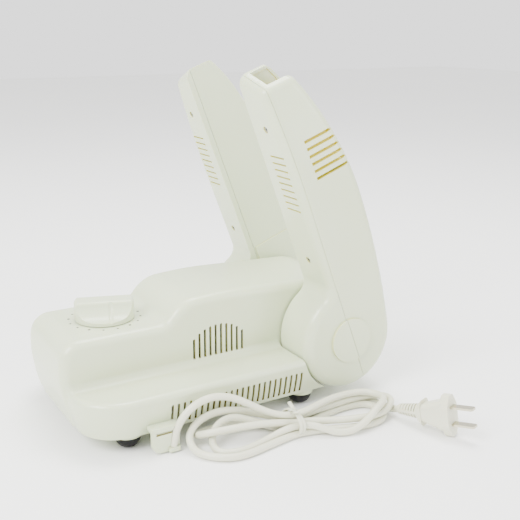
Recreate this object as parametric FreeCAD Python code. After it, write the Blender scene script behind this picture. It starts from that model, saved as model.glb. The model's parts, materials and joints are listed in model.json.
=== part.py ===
import FreeCAD, Part
import math
import os

# Folding electric shoe and boot dryer: a low blower base with a raised ridge, and two hollow
# warm-air arms on hubs at its rear end that fold forward onto the ledges beside the ridge.
# Sizes are millimetres. The model is drawn with x = 0 on the hub axis, the nose towards -X,
# y = 0 on the middle plane and z = 0 on the floor; place() then moves it to its row frame.

V = FreeCAD.Vector
X, Y, Z = V(1, 0, 0), V(0, 1, 0), V(0, 0, 1)

# ---- driving dimensions ------------------------------------------------------------------
hub_r = 40.0                # hub of each arm
hub_z = 49.5                # hub axis above the floor
arm_reach = 211.0           # hub axis to the tip of an arm
arm_tilt = 21.0             # degrees that an open arm leans towards the nose
nose_reach = 213.0          # hub axis to the foremost point of the nose
ridge_half = 38.4           # half width of the raised ridge
body_half = 74.5            # half width over the ledges
skirt_z = 12.5              # lower edge of the housing
ledge_z = 39.7              # top of the ledges
nose_z = 74.5               # flat top of the nose
crest_z = 91.4              # top of the crown behind it
wall = 2.2                  # moulded wall of the base
arm_wall = 2.0              # moulded wall of the arms

# ---- clearances --------------------------------------------------------------------------
run_gap = 0.05              # radial running fit of shafts and pivots
cover_gap = 0.25            # bottom cover to housing, all round
hub_gap = 1.3               # arm hub to its pocket in the ledge
side_gap = 1.2              # arm hub pad to the ridge wall
seam_gap = 0.35             # width of the groove along a moulded seam
seam_depth = 0.9            # depth of that groove

# ---- base housing ------------------------------------------------------------------------
corner_r = 33.0             # plan corners of the nose end
skirt_in = 4.5              # how far the skirt draws in at its lower edge
ledge_round = 4.0           # rounding of the ledge's top edge
ridge_round = 6.5           # rounding of the ridge's long edges
cove_r = 6.0                # hollow fillet between ridge and ledge
nose_round = 15.0           # rounding over the top of the nose
nose_lean = 7.0             # how far the nose leans out above its foot
tail_r = hub_r - 1.4        # rear end of the ridge, round the hub axis
tail_foot_r = 9.0           # lower rear corner of the ridge
step_x = -139.0             # where the nose's flat top starts to rise to the crown
step_r1 = 9.0               # hollow part of that rise
step_r2 = 28.0              # round part of that rise
step_angle = 50.0           # steepest slope of the rise, degrees

# ---- vents -------------------------------------------------------------------------------
vent_w = 1.9
side_vents = 10
side_vent_pitch = 4.48
side_vent_x = -93.7         # middle of the row in the ridge wall
side_vent_arch = 28.5       # arch over the row, struck from side_vent_arch_z
side_vent_arch_z = 39.5
side_vent_z = 44.0
skirt_vents = 24
skirt_vent_pitch = 4.6
skirt_vent_x = -42.5        # rearmost one
skirt_vent_z = 15.2
skirt_vent_top = 31.0

# ---- feet, screws ------------------------------------------------------------------------
foot_r = 9.25
foot_flat = 0.5             # how much of the dome's end is flat
foot_inset = 15.0           # foot centre inside the widest line of the base
front_foot_x = 38.0         # front feet behind the foremost point of the nose
rear_foot_x = 16.5          # rear feet in front of the ledge's pointed tail
socket_wall = 1.1
socket_drop = 3.2
stem_r = 3.9
screw_r = 1.5
head_r = 2.9
head_h = 1.7
boss_r = 4.0
plate_t = 2.4               # bottom cover

# ---- timer -------------------------------------------------------------------------------
knob_back = 46.0            # knob axis behind the foremost point of the nose
knob_r = 21.5
knob_rim = 2.5              # thickness left at the knob's edge below its finger scoops
knob_grip_w = 14.6          # grip left between the scoops
knob_h = 13.8
knob_lift = 0.6
knob_round = 2.6
knob_crease_x = 4.5         # crease across both scoops, beside the middle
knob_crease_r = 2.5
knob_crease_deep = 0.7
knob_stand = -19.5          # how the grip stands from the base's long axis, degrees
timer_shaft_r = 3.0
timer_side = 38.0
timer_h = 24.0
tick_ring_r = 25.8
tick_count = 16
tick_r = 0.8
tick_sink = 0.25

# ---- blower, heater, duct ----------------------------------------------------------------
fan_x = side_vent_x
fan_z = 51.0
fan_r = 28.0
fan_bore_r = 20.5
fan_w = 20.0
blades = 24
scroll_r = 34.0
scroll_half = 18.0
scroll_wall = 2.0
motor_r = 14.0
washer_t = 1.6              # wave washer behind each retaining ring
motor_shaft_r = 1.5
duct_half_w = 15.0
duct_half_h = 12.0
duct_wall = 1.6

# ---- pivots ------------------------------------------------------------------------------
pivot_r = 19.0              # turning tube of each arm
pivot_wall = 2.4
bush_wall = 2.6
flange_t = 2.2
flange_r = 27.0
ring_t = 2.4
ring_r = 23.0
boss_face_r = 17.3          # raised round face on the outside of a hub
boss_face_h = 2.0

# ---- arms --------------------------------------------------------------------------------
arm_front = 3.1             # front face ahead of the hub axis
arm_over = 2.0              # arm's outer face beyond the ledge's edge
arm_overhang = 0.43         # what places the frame's origin under the middle of the whole
back_swell = 9.5            # degrees that the arm's back leans out where it leaves the hub
back_bend = 18.0            # degrees that it leans in towards the tip
tip_bend = 30.0             # degrees that it leans in at the tip itself
neck_r = 11.0               # hollow between the front face and the hub
arm_round = 7.0             # rounding of the arm's outer edges
seam_v = 1.5                # seam between front cover and back shell
tip_round = 8.0
arm_slots = 6
arm_slot_pitch = 5.55
arm_slot_w = 2.3
arm_slot_u = 158.5
mouth_front = 5.7           # front edge of the warm-air mouth behind the hub axis
mouth_side = 14.0           # mouth's side inside the arm's outer face
mouth_long = 18.0           # how far the mouth opens the arm's back below the tip
face_slots = 9
face_slot_pitch = 5.25
face_slot_w = 1.4
face_slot_u = 153.0
cover_screw_u = (173.5, 68.0)
cover_screw_y = 16.5        # from the arm's inner face

# ---- cord --------------------------------------------------------------------------------
cord_r = 2.6
wire_r = 1.0                # inner wires
heater_wire_r = 0.45
heater_r = 8.0              # the heating wire's turns
heater_count = 6
mica_t = 0.8
mica_hole_gap = 0.15        # round the heating wire, in the boards
lead_route = [              # from the bracket up in an arch and down to the tied hank
    (-151.3, -80.0, 4.0), (-150.0, -80.2, 13.4), (-145.8, -80.6, 21.9), (-139.3, -81.2, 28.8),
    (-130.4, -82.0, 33.4), (-119.4, -82.8, 34.3), (-107.8, -84.2, 31.2), (-95.8, -87.0, 24.0),
    (-83.7, -91.4, 15.2), (-73.4, -96.2, 9.9),
]
tail_route = [              # from the hank to the plug
    (8.6, -102.6, 7.0), (11.0, -111.4, 7.2), (12.8, -122.1, 8.0),
]
hank_left = -138.0          # the hank's outline on the floor, cut from one block
hank_right = 17.0
hank_near = -125.0
hank_far = -75.5             # its far side under the arch of the lead
hank_clear = -82.0          # its far side beside the arm hub
hank_high = 22.0
hank_low = 8.0
tie_x = -67.0
tie_y = -101.0
tie_half_l = 2.6
tie_half_w = 14.0
tie_h = 14.0
plug_at = (26.7, -161.9, 16.4)      # middle of the plug's face
plug_l = 42.7
plug_relief_l = 17.0
plug_face_half = 15.0
plug_face_w = 7.4
pin_pitch = 12.7
pin_w = 6.3
pin_t = 1.5
pin_l = 17.0
bracket_x = (-167.0, -147.0)
bracket_out = body_half + 6.0       # outermost face of the cord bracket
bracket_top = 19.5


# ---- values worked out from the above ----------------------------------------------------
pocket_r = hub_r + hub_gap
tail_x = -math.sqrt(pocket_r ** 2 - (hub_z - skirt_z) ** 2)
knob_x = -nose_reach + knob_back
arm_in = ridge_half + side_gap + 1.0
arm_out = body_half + arm_over
pad_t = arm_in - ridge_half - side_gap
roof_z = nose_z - wall


def box(x0, x1, y0, y1, z0, z1):
    return Part.makeBox(x1 - x0, y1 - y0, z1 - z0, V(x0, y0, z0))


def rod(r, start, direction, length):
    return Part.makeCylinder(r, length, start, direction)


def tube(r_out, r_in, start, direction, length):
    return rod(r_out, start, direction, length).cut(rod(r_in, start, direction, length))


def mirrored(shape):
    return shape.mirror(V(0, 0, 0), Y)


def both_sides(shape):
    return [shape, mirrored(shape)]


def arc(a, b, c):
    return Part.Arc(a, b, c).toShape()


def line(a, b):
    return Part.LineSegment(a, b).toShape()


def edges_where(shape, test):
    """The edges of a shape whose middle point passes a test."""
    found = []
    for edge in shape.Edges:
        if edge.Length > 1e-3:
            middle = edge.valueAt((edge.FirstParameter + edge.LastParameter) / 2)
            if test(middle, edge):
                found.append(edge)
    return found


# ---- outlines ----------------------------------------------------------------------------
def outline(corners, inset, to_space):
    """Closed wire of straight runs with rounded corners (a, b, radius), drawn in by inset."""
    count = len(corners)
    area = 0.0
    for i in range(count):
        (a0, b0, r0), (a1, b1, r1) = corners[i], corners[(i + 1) % count]
        area += a0 * b1 - a1 * b0
    side = 1.0 if area > 0 else -1.0
    runs = []
    for i in range(count):
        (a0, b0, r0), (a1, b1, r1) = corners[i], corners[(i + 1) % count]
        length = math.hypot(a1 - a0, b1 - b0)
        da, db = (a1 - a0) / length, (b1 - b0) / length
        runs.append((a0 - side * db * inset, b0 + side * da * inset, da, db))
    path = []
    for i in range(count):
        a0, b0, da0, db0 = runs[i - 1]
        a1, b1, da1, db1 = runs[i]
        cross = da0 * db1 - db0 * da1
        t = ((a1 - a0) * db1 - (b1 - b0) * da1) / cross
        a, b = a0 + t * da0, b0 + t * db0
        convex = cross * side > 0
        radius = corners[i][2]
        if radius:
            radius = max(radius - inset, 0.5) if convex else radius + inset
        turn = math.atan2(abs(cross), da0 * da1 + db0 * db1)
        cut = radius * math.tan(turn / 2)
        enter = (a - da0 * cut, b - db0 * cut)
        leave = (a + da1 * cut, b + db1 * cut)
        away = radius / math.cos(turn / 2) - radius
        bis = math.hypot(da1 - da0, db1 - db0)
        middle = (a + (da1 - da0) / bis * away, b + (db1 - db0) / bis * away)
        path.append((enter, middle, leave, radius))
    edges = []
    for i in range(count):
        enter, middle, leave, radius = path[i]
        if radius:
            edges.append(arc(to_space(*enter), to_space(*middle), to_space(*leave)))
        edges.append(line(to_space(*leave), to_space(*path[(i + 1) % count][0])))
    return Part.Wire(edges)


# ---- base housing ------------------------------------------------------------------------
def plan_wire(z, inset):
    """Outline of the ledges and skirt at height z, drawn in by inset."""
    front = -nose_reach + 3.5 + inset
    half = body_half - inset
    r = corner_r - inset
    rear = -6.0
    k = r * (1 - math.sqrt(0.5))
    return Part.Wire([
        line(V(front, -half + r, z), V(front, half - r, z)),
        arc(V(front, half - r, z), V(front + k, half - k, z), V(front + r, half, z)),
        line(V(front + r, half, z), V(rear, half, z)),
        line(V(rear, half, z), V(rear, -half, z)),
        line(V(rear, -half, z), V(front + r, -half, z)),
        arc(V(front + r, -half, z), V(front + k, -half + k, z), V(front, -half + r, z)),
    ])


def ledge_block(inset, bottom):
    """Low block of the ledges and skirt, its sides drawn in towards the lower edge."""
    top = ledge_z - inset
    levels = [bottom + (top - bottom) * i / 3 for i in range(4)]
    rise = ledge_z - skirt_z
    wires = [plan_wire(z, inset + skirt_in * max((ledge_z - z) / rise, 0) ** 2) for z in levels]
    block = Part.makeLoft(wires, True, False)
    rim = edges_where(block, lambda m, e: abs(m.z - top) < 0.01 and m.x < -8)
    return block.makeFillet(max(ledge_round - inset, 1.0), rim)


def ridge_corners():
    """Side outline of the ridge as corners (x, z, radius): nose, step, crown, round rear end."""
    front = -nose_reach
    rise = crest_z - nose_z
    run = rise / math.tan(math.radians(step_angle))
    return [
        (front + nose_lean, skirt_z, 0),
        (front - 1.0, skirt_z + 0.5 * (nose_z - skirt_z), 70.0),
        (front + 1.0, nose_z, nose_round),
        (step_x + 0.47 * step_r1, nose_z, step_r1),
        (step_x + 0.47 * step_r1 + 0.9 * run, nose_z + 0.9 * rise, step_r2),
        (0.4 * step_x - 28.0, crest_z + 0.5, 260.0),
        (tail_r, hub_z + tail_r - 1.5, tail_r - 2.0),
        (tail_r, skirt_z, tail_foot_r),
    ]


def ridge_solid(inset):
    half = ridge_half - inset
    side = Part.Face(outline(ridge_corners(), inset, lambda x, z: V(x, -half, z)))
    block = side.extrude(V(0, 2 * half, 0))
    floor = skirt_z + inset

    def long_edge(m, e):
        return abs(abs(m.y) - half) < 0.01 and m.z > floor + 0.5

    return block.makeFillet(ridge_round - inset, edges_where(block, long_edge))


def base_void(inset):
    """Hollow of the base, open below: the outside drawn in by inset."""
    low = skirt_z - 4.0
    block = ledge_block(inset, low)
    for side in (-1, 1):
        block = block.cut(hub_pocket(side, pocket_r + inset, ridge_half - inset))
    ridge = ridge_solid(inset)
    front = -nose_reach + nose_lean + inset + 0.4
    mouth = box(front, tail_r - tail_foot_r, -ridge_half + inset, ridge_half - inset,
                low, skirt_z + inset + 1.0)
    return block.fuse([ridge, mouth])


def hub_pocket(side, radius, from_y):
    """Cylinder that a hub turns in, outwards from the ridge wall."""
    start = V(0, side * from_y, hub_z)
    return rod(radius, start, Y * side, body_half)


def front_foot():
    return V(-nose_reach + front_foot_x, body_half - foot_inset - 3.0, 0)


def rear_foot():
    return V(tail_x - rear_foot_x, body_half - foot_inset, 0)


def foot_places():
    """Centres of the four feet on the floor."""
    return [V(p.x, side * p.y, 0) for p in (front_foot(), rear_foot()) for side in (-1, 1)]


def boss_places():
    """Where the bottom cover's screws go: two in the nose, two under the ledges, two behind."""
    spots = [
        (-nose_reach + 22.0, ridge_half - 10.0),
        ((-nose_reach + tail_x) / 2, body_half - wall - skirt_in - 4.5),
        (tail_r - 13.0, ridge_half - wall - boss_r + 0.6),
    ]
    return [V(x, side * y, 0) for x, y in spots for side in (-1, 1)]


def side_vent_cuts():
    """Slots through both ridge walls, under one arch."""
    cuts = []
    first = side_vent_x - side_vent_pitch * (side_vents - 1) / 2
    for i in range(side_vents):
        x = first + i * side_vent_pitch
        top = side_vent_arch_z + math.sqrt(side_vent_arch ** 2 - (x - side_vent_x) ** 2)
        reach = ridge_half + 1.0
        slot = box(x - vent_w / 2, x + vent_w / 2, -reach, reach, side_vent_z, top - vent_w / 2)
        slot = slot.fuse(rod(vent_w / 2, V(x, -reach, top - vent_w / 2), Y, 2 * reach))
        cuts.append(slot)
    return cuts


def skirt_vent_cuts():
    """Slots through both skirts above the bottom cover."""
    cuts = []
    inner = body_half - skirt_in - wall - 3.0
    for i in range(skirt_vents):
        x = skirt_vent_x - i * skirt_vent_pitch
        z0, z1 = skirt_vent_z, skirt_vent_top - vent_w / 2
        slot = box(x - vent_w / 2, x + vent_w / 2, inner, body_half + 1.0, z0, z1)
        slot = slot.fuse(rod(vent_w / 2, V(x, inner, z1), Y, body_half + 1.0 - inner))
        cuts += both_sides(slot)
    return cuts


def tick_places():
    """Marks of the timer scale as (position, bold); every third one is bolder."""
    marks = []
    for k in range(tick_count):
        angle = -2 * math.pi * k / tick_count
        spot = V(knob_x + tick_ring_r * math.cos(angle), tick_ring_r * math.sin(angle), nose_z)
        marks.append((spot, k % 3 == 0))
    return marks


def base_housing():
    body = ledge_block(0, skirt_z).fuse(ridge_solid(0))
    root = edges_where(body, lambda m, e: abs(abs(m.y) - ridge_half) < 0.01
                       and abs(m.z - ledge_z) < 0.05)
    body = body.makeFillet(cove_r, root)
    for side in (-1, 1):
        body = body.cut(hub_pocket(side, pocket_r, ridge_half))
    body = body.cut(base_void(wall))
    bosses = []
    for spot in boss_places():
        low = skirt_z + plate_t
        roof = ledge_z - 1.0 if abs(spot.y) > ridge_half else low + 12.0
        if spot.x < knob_x:
            roof = roof_z + 0.5
        bosses.append(rod(boss_r, V(spot.x, spot.y, low), Z, roof - low))
    body = body.fuse(bosses)
    pilots = [rod(screw_r, V(s.x, s.y, skirt_z - 1), Z, 14.0) for s in boss_places()]
    bush_bore = rod(pivot_r + run_gap + bush_wall, V(0, -ridge_half - 1, hub_z), Y, 2 * ridge_half + 2)
    shaft_hole = rod(timer_shaft_r + 2.0, V(knob_x, 0, roof_z - 1), Z, wall + 2)
    timer_holes = [timer_screw(spot) for spot in timer_screw_places()]
    ticks = [rod(tick_r * (1.25 if bold else 1.0), V(spot.x, spot.y, nose_z - tick_sink), Z, 2)
             for spot, bold in tick_places()]
    return body.cut(pilots + [bush_bore, shaft_hole] + timer_holes + ticks + side_vent_cuts()
                    + skirt_vent_cuts())


def scale_ticks():
    """Printed marks of the timer scale, each a thin inlaid dot."""
    dots = [rod(tick_r * (1.25 if bold else 1.0), V(spot.x, spot.y, nose_z - tick_sink), Z, tick_sink)
            for spot, bold in tick_places()]
    return Part.makeCompound(dots)


def bottom_cover():
    slab = box(-2 * nose_reach, 2 * nose_reach, -2 * body_half, 2 * body_half, skirt_z, skirt_z + plate_t)
    plate = base_void(wall + cover_gap).common(slab)
    sockets, cuts = [], []
    for p in foot_places():
        low = V(p.x, p.y, skirt_z - socket_drop)
        sockets.append(rod(foot_r + socket_wall, low, Z, socket_drop))
        cuts.append(rod(foot_r, low, Z, socket_drop))
        cuts.append(rod(stem_r, low, Z, socket_drop + plate_t + 1))
    for p in boss_places():
        cuts.append(rod(screw_r + 0.3, V(p.x, p.y, skirt_z - 1), Z, plate_t + 2))
    return plate.fuse(sockets).cut(cuts)


def rubber_feet():
    feet = []
    top = skirt_z + plate_t
    for p in foot_places():
        rise = foot_r - foot_flat
        dome = Part.makeSphere(foot_r, V(p.x, p.y, rise))
        dome = dome.common(box(p.x - 20, p.x + 20, p.y - 20, p.y + 20, 0, rise))
        neck = rod(foot_r, V(p.x, p.y, rise), Z, skirt_z - rise)
        stem = rod(stem_r, V(p.x, p.y, rise), Z, top - rise)
        knob = Part.makeCone(stem_r + 0.6, stem_r - 0.6, 1.6, V(p.x, p.y, top), Z)
        feet.append(dome.fuse([neck, stem, knob]))
    return Part.makeCompound(feet)


def base_screws():
    screws = []
    for p in boss_places():
        head = rod(head_r, V(p.x, p.y, skirt_z - head_h), Z, head_h)
        screws.append(head.fuse(rod(screw_r, V(p.x, p.y, skirt_z), Z, plate_t + 9.0)))
    return Part.makeCompound(screws)


# ---- timer -------------------------------------------------------------------------------
def timer_screw_places():
    return [V(knob_x, side * 12.5, nose_z) for side in (-1, 1)]


def timer_screw(spot):
    """Countersunk screw down through the nose into the timer's plate."""
    head = Part.makeCone(screw_r, head_r, 1.6, V(spot.x, spot.y, spot.z - 1.6), Z)
    return head.fuse(rod(screw_r, V(spot.x, spot.y, spot.z - 9.0), Z, 7.5))


def timer_body():
    half = timer_side / 2
    top = roof_z
    case = box(knob_x - half, knob_x + half, -half, half, top - 2.0 - timer_h, top - 2.0)
    case = case.makeFillet(3.0, edges_where(case, lambda m, e: abs(e.tangentAt(e.FirstParameter).z) > 0.9))
    plate = box(knob_x - half, knob_x + half, -half + 2.0, half - 2.0, top - 2.0, top)
    tags = [box(knob_x - 12 + 9 * i, knob_x - 7 + 9 * i, -half - 7, -half, top - 20, top - 19.2)
            for i in range(3)]
    body = case.fuse([plate] + tags)
    return body.cut([rod(timer_shaft_r + run_gap, V(knob_x, 0, top - 18.0), Z, 20.0)]
                    + [timer_screw(s) for s in timer_screw_places()])


def timer_shaft():
    low = roof_z - 18.0 + 0.3
    top = nose_z + knob_lift + knob_h - 3.5
    shaft = rod(timer_shaft_r, V(knob_x, 0, low), Z, top - low)
    flat = box(knob_x - 5, knob_x + 5, timer_shaft_r - 0.8, 5, nose_z + knob_lift + 1.5, top + 1)
    return shaft.cut(flat)


def timer_knob():
    """Round knob with a grip left standing between two hollow finger scoops."""
    low = nose_z + knob_lift
    scoop_r = knob_r - knob_grip_w / 2
    knob = rod(knob_r, V(0, 0, low), Z, knob_h)
    for side in (-1, 1):
        knob = knob.cut(rod(scoop_r, V(-2 * knob_r, side * knob_r, low + knob_rim + scoop_r), X, 4 * knob_r))
    knob = knob.makeFillet(knob_round, edges_where(knob, lambda m, e: m.z > low + knob_h - 0.1))
    for side in (-1, 1):
        middle = V(knob_crease_x, side * knob_r, low + knob_rim + scoop_r)
        knob = knob.cut(Part.makeTorus(scoop_r + knob_crease_deep - knob_crease_r, knob_crease_r, middle, X))
    knob.rotate(V(0, 0, 0), Z, knob_stand)
    knob.translate(V(knob_x, 0, 0))
    return knob.cut(timer_shaft())


# ---- blower ------------------------------------------------------------------------------
def scroll_solid(shrink, half):
    """Round blower casing with its outlet duct towards the hubs."""
    case = rod(scroll_r - shrink, V(fan_x, -half, fan_z), Y, 2 * half)
    spout = box(fan_x, duct_x0(), -half, half, fan_z - duct_half_h - duct_wall - scroll_wall + shrink,
                fan_z + duct_half_h + duct_wall + scroll_wall - shrink)
    return case.fuse(spout)


def duct_x0():
    return fan_x + scroll_r + 6.0


def duct_x1():
    return -pivot_r - 1.0


def blower_cases():
    """The casing's two halves, split on the middle plane, each with a round inlet."""
    outer = scroll_solid(0, scroll_half)
    inner = scroll_solid(scroll_wall, scroll_half - scroll_wall)
    mouth = box(duct_x0() - 3, duct_x0() + 1, -scroll_half + scroll_wall, scroll_half - scroll_wall,
                fan_z - duct_half_h - duct_wall, fan_z + duct_half_h + duct_wall)
    inlets = rod(fan_bore_r, V(fan_x, -scroll_half - 1, fan_z), Y, 2 * scroll_half + 2)
    shell = outer.cut([inner, mouth, inlets] + [motor_screw(p) for p in motor_screw_places()])
    near = shell.common(box(-300, 300, -scroll_half - 1, 0, 0, 200))
    far = shell.common(box(-300, 300, 0, scroll_half + 1, 0, 200))
    feet = []
    for side in (-1, 1):
        y = side * (scroll_half - 5.0)
        feet.append(box(fan_x - 6, fan_x + 6, min(y - 3, y + 3), max(y - 3, y + 3),
                        skirt_z + plate_t, fan_z - scroll_r + 1.0))
    return near.fuse(feet[0]), far.fuse(feet[1])


def fan_impeller():
    y0, y1 = -scroll_half + scroll_wall + 2.0, -scroll_half + scroll_wall + 2.0 + fan_w
    centre = V(fan_x, 0, fan_z)
    plate = rod(fan_r, V(fan_x, y1 - 1.5, fan_z), Y, 1.5)
    rim = tube(fan_r, fan_bore_r + 1.0, V(fan_x, y0, fan_z), Y, 1.5)
    hub = rod(5.0, V(fan_x, y1 - 9.0, fan_z), Y, 9.0)
    vane = box(fan_x + fan_bore_r + 1.2, fan_x + fan_r - 0.3, y0 + 0.5, y1 - 1.0, fan_z - 0.5, fan_z + 0.5)
    vane.rotate(V(fan_x + (fan_bore_r + fan_r) / 2, 0, fan_z), Y, 28.0)
    vanes = []
    for i in range(blades):
        v = vane.copy()
        v.rotate(centre, Y, 360.0 * i / blades)
        vanes.append(v)
    wheel = plate.fuse([rim, hub] + vanes)
    return wheel.cut(rod(motor_shaft_r, V(fan_x, y0 - 5, fan_z), Y, fan_w + 10))


def fan_back():
    """Outer face of the fan wheel's back plate."""
    return -scroll_half + scroll_wall + 2.0 + fan_w


def motor_ends():
    return fan_back() + 2.5, ridge_half - wall - 2.5


def fan_motor():
    y0, y1 = motor_ends()
    can = rod(motor_r, V(fan_x, y0, fan_z), Y, y1 - y0)
    can = can.makeFillet(1.2, edges_where(can, lambda m, e: e.Length > 50))
    nose = rod(4.0, V(fan_x, y0 - 1.2, fan_z), Y, 2.0)
    tags = [box(fan_x + s * 7 - 1.2, fan_x + s * 7 + 1.2, y1 - 0.5, y1 + 1.6, fan_z - 0.4, fan_z + 0.4)
            for s in (-1, 1)]
    body = can.fuse([nose] + tags)
    return body.cut(rod(motor_shaft_r + run_gap, V(fan_x, y0 - 3, fan_z), Y, y1 - y0 + 1.0))


def motor_shaft():
    y0, y1 = motor_ends()
    return rod(motor_shaft_r, V(fan_x, fan_back() - 8.0, fan_z), Y, y1 - 2.5 - fan_back() + 8.0)


def motor_bracket():
    """Spider that holds the motor in the middle of the far inlet."""
    ring = tube(motor_r + 2.0, motor_r, V(fan_x, scroll_half, fan_z), Y, 1.8)
    arms = []
    for i in range(3):
        bar = box(fan_x + motor_r + 1.0, fan_x + scroll_r - 4.0, scroll_half, scroll_half + 1.8,
                  fan_z - 3.0, fan_z + 3.0)
        bar.rotate(V(fan_x, 0, fan_z), Y, 90.0 + 120.0 * i)
        arms.append(bar)
    return ring.fuse(arms).cut([motor_screw(p) for p in motor_screw_places()])


def motor_screw_places():
    spots = []
    for i in range(3):
        spot = V(fan_x + scroll_r - 7.0, scroll_half, fan_z)
        turned = Part.Vertex(spot)
        turned.rotate(V(fan_x, 0, fan_z), Y, 90.0 + 120.0 * i)
        spots.append(turned.Point)
    return spots


def motor_screw(p):
    shank = rod(1.0, V(p.x, scroll_half - 1.6, p.z), Y, 4.0)
    return shank.fuse(rod(2.0, V(p.x, scroll_half + 1.8, p.z), Y, 1.4))


# ---- heater and air path -----------------------------------------------------------------
def heater_duct():
    outer = box(duct_x0(), duct_x1() - 2.0, -duct_half_w - duct_wall, duct_half_w + duct_wall,
                fan_z - duct_half_h - duct_wall, fan_z + duct_half_h + duct_wall)
    inner = box(duct_x0() - 1, duct_x1(), -duct_half_w, duct_half_w, fan_z - duct_half_h, fan_z + duct_half_h)
    return outer.cut(inner)


def heater_turns(thick):
    """Turns of wire of radius thick round the duct's axis, joined by a straight run."""
    x0, x1 = duct_x0() + 6.0, duct_x1() - 9.0
    off = heater_r * math.sqrt(0.5)
    rings = []
    for i in range(heater_count):
        x = x0 + (x1 - x0) * i / (heater_count - 1)
        rings.append(Part.makeTorus(heater_r, thick, V(x, 0, fan_z), X))
    bar = rod(thick, V(x0, off, fan_z + off), X, x1 - x0)
    return rings[0].fuse(rings[1:] + [bar])


def heater_wire():
    """Resistance wire wound through the holes in the mica boards."""
    return heater_turns(heater_wire_r)


def heater_frame():
    """Crossed mica boards with a hole at each turn of the heating wire."""
    x0, x1 = duct_x0() + 3.0, duct_x1() - 6.0
    half_t = mica_t / 2
    flat = box(x0, x1, -duct_half_w, duct_half_w, fan_z - half_t, fan_z + half_t)
    upright = box(x0, x1, -half_t, half_t, fan_z - duct_half_h, fan_z + duct_half_h)
    return flat.fuse(upright).cut(heater_turns(heater_wire_r + mica_hole_gap))


def thermostat():
    top = fan_z + duct_half_h + duct_wall
    x = duct_x0() + 10.0
    body = rod(6.5, V(x, 0, top), Z, 4.0).fuse(rod(5.0, V(x, 0, top + 4.0), Z, 3.0))
    tags = [box(x - 0.4, x + 0.4, s * 7 - 2, s * 7 + 2, top + 3.0, top + 3.8) for s in (-1, 1)]
    return body.fuse(tags)


def thermal_fuse():
    top = fan_z + duct_half_h + duct_wall
    x = duct_x0() + 19.0
    return rod(1.8, V(x, -6.0, top + 1.8), Y, 12.0).fuse(rod(0.4, V(x, -11.0, top + 1.8), Y, 22.0))


def air_manifold():
    """Cross tube that shares the air between the two arms, with the duct's mouth in front."""
    end = ring_y() - 2.2
    cross = rod(pivot_r, V(0, -end, hub_z), Y, 2 * end)
    mouth = box(duct_x1() - 2.0, 0, -duct_half_w - duct_wall, duct_half_w + duct_wall,
                fan_z - duct_half_h - duct_wall, fan_z + duct_half_h + duct_wall)
    bore = rod(pivot_r - pivot_wall, V(0, -end - 1, hub_z), Y, 2 * end + 2)
    inlet = box(duct_x1() - 3.0, 0, -duct_half_w, duct_half_w, fan_z - duct_half_h, fan_z + duct_half_h)
    foot = box(-6, 6, -8, 8, skirt_z + plate_t, hub_z - pivot_r + 1.0)
    return cross.fuse([mouth, foot]).cut([bore, inlet])


def pivot_bush():
    """Flanged bush in the +Y ridge wall."""
    bore = pivot_r + run_gap
    body = rod(bore + bush_wall, V(0, ridge_half - wall, hub_z), Y, wall)
    body = body.fuse(rod(bore + bush_wall + 2.5, V(0, ridge_half, hub_z), Y, side_gap - 0.3))
    return body.cut(rod(bore, V(0, 0, hub_z), Y, 2 * ridge_half))


# ---- wiring and cord ---------------------------------------------------------------------
def smooth_path(points, report=None):
    """Straight runs joined by tangent arcs, each as large as its two runs allow."""
    edges = []
    start = points[0]
    radii = []
    for i in range(1, len(points) - 1):
        into, out = points[i] - points[i - 1], points[i + 1] - points[i]
        turn = into.getAngle(out)
        radius = 0.45 * min(into.Length, out.Length) / math.tan(turn / 2)
        radii.append(radius)
        cut = 0.45 * min(into.Length, out.Length)
        a = points[i] - into.normalize() * cut
        b = points[i] + out.normalize() * cut
        inward = (out - into).normalize()
        middle = points[i] + inward * (radius / math.cos(turn / 2) - radius)
        edges.append(line(start, a))
        edges.append(arc(a, middle, b))
        start = b
    edges.append(line(start, points[-1]))
    if report:
        print(report, "arc radii", [round(r, 1) for r in radii])
    return Part.Wire(edges)


def cable(points, radius, report=None):
    """Round cable along a path; its volume is checked against section times length."""
    path = smooth_path(points, report)
    first = path.Edges[0]
    ring = Part.Wire([Part.makeCircle(radius, points[0], first.tangentAt(first.FirstParameter))])
    solid = path.makePipeShell([ring], True, True)
    if report:
        ratio = solid.Volume / (math.pi * radius ** 2 * path.Length)
        print(report, "length", round(path.Length, 1), "volume ratio", round(ratio, 4))
    return solid


# ---- arms --------------------------------------------------------------------------------
# An arm is drawn upright for the +Y side: x is its depth behind the hub axis, z runs from the
# hub axis to its tip. open_arm() then leans it and lifts it onto the hub axis.
def blade_corners():
    """Side outline of the arm above its hub, as corners (depth, along, radius)."""
    a = math.radians(back_swell)
    start_d, start_u = hub_r * math.cos(a), -hub_r * math.sin(a)
    swell_u = 0.2 * arm_reach
    deep = start_d + (swell_u - start_u) * math.tan(a)
    bend_u = arm_reach - 72.0
    b, c = math.radians(back_bend), math.radians(tip_bend)
    tip_u = arm_reach - 14.0
    tip_d = deep - (tip_u - bend_u) * math.tan(b)
    end_d = tip_d - (arm_reach - tip_u) * math.tan(c)
    return [
        (-arm_front, 0, 0),
        (start_d, start_u, 0),
        (deep, swell_u, 530.0),
        (deep, bend_u, 285.0),
        (tip_d, tip_u, 120.0),
        (end_d, arm_reach, 3.5),
        (-arm_front, arm_reach, tip_round),
    ]


def front_corners():
    """Front outline of the arm as corners (across, along, radius); its outer side draws in."""
    return [
        (arm_in, -1.5 * hub_r, 0),
        (arm_out, -1.5 * hub_r, 0),
        (arm_out, arm_reach - 61.0, 440.0),
        (arm_out - 9.0, arm_reach - 9.6, 7.0),
        (arm_in, arm_reach + 0.4, 0),
    ]


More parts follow.
